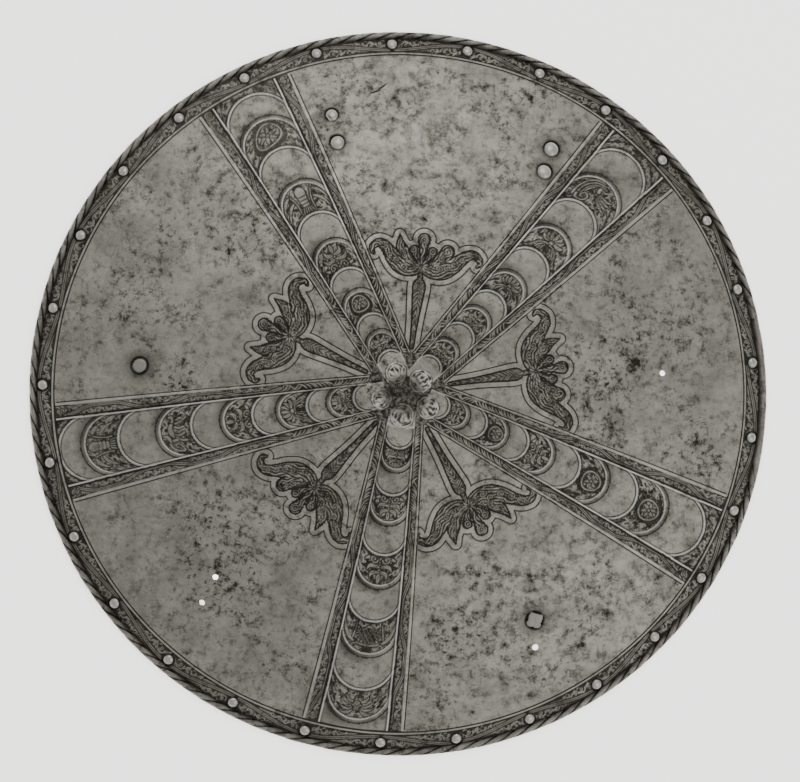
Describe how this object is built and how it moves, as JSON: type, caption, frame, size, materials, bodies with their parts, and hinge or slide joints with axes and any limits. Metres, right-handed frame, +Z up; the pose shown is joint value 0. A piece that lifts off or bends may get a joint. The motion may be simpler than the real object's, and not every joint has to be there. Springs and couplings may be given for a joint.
{
  "type": "targe shield",
  "caption": "Round domed steel target shield with a roped edge, riveted etched border, five bands of overlapping scales and etched palmettes.",
  "frame": {"origin": "on the ground under the middle of the rim, with the shield lying domed face up", "axes": "+Z up out of the domed face, +X across the shield to the right, +Y to the edge that is at the top when it is worn"},
  "size_m": [0.566, 0.554, 0.0665],
  "materials": {
    "plate_steel": "hammered steel, polished and aged, with etched ornament on a darkened ground",
    "rivet_steel": "bright worn rivet heads",
    "repair_steel": "dull flat repair rivets"
  },
  "bodies": {
    "root": {"shield_plate": "plate_steel", "lining_rivet_01": "rivet_steel", "lining_rivet_02": "rivet_steel", "lining_rivet_03": "rivet_steel", "lining_rivet_04": "rivet_steel", "lining_rivet_05": "rivet_steel", "lining_rivet_06": "rivet_steel", "lining_rivet_07": "rivet_steel", "lining_rivet_08": "rivet_steel", "lining_rivet_09": "rivet_steel", "lining_rivet_10": "rivet_steel", "lining_rivet_11": "rivet_steel", "lining_rivet_12": "rivet_steel", "lining_rivet_13": "rivet_steel", "lining_rivet_14": "rivet_steel", "lining_rivet_15": "rivet_steel", "lining_rivet_16": "rivet_steel", "lining_rivet_17": "rivet_steel", "lining_rivet_18": "rivet_steel", "lining_rivet_19": "rivet_steel", "lining_rivet_20": "rivet_steel", "lining_rivet_21": "rivet_steel", "lining_rivet_22": "rivet_steel", "lining_rivet_23": "rivet_steel", "lining_rivet_24": "rivet_steel", "lining_rivet_25": "rivet_steel", "lining_rivet_26": "rivet_steel", "lining_rivet_27": "rivet_steel", "lining_rivet_28": "rivet_steel", "lining_rivet_29": "rivet_steel", "strap_rivet_1": "rivet_steel", "strap_rivet_2": "rivet_steel", "strap_rivet_3": "rivet_steel", "strap_rivet_4": "rivet_steel", "plug_rivet": "repair_steel", "ragged_rivet": "repair_steel"}
  },
  "joints": []
}
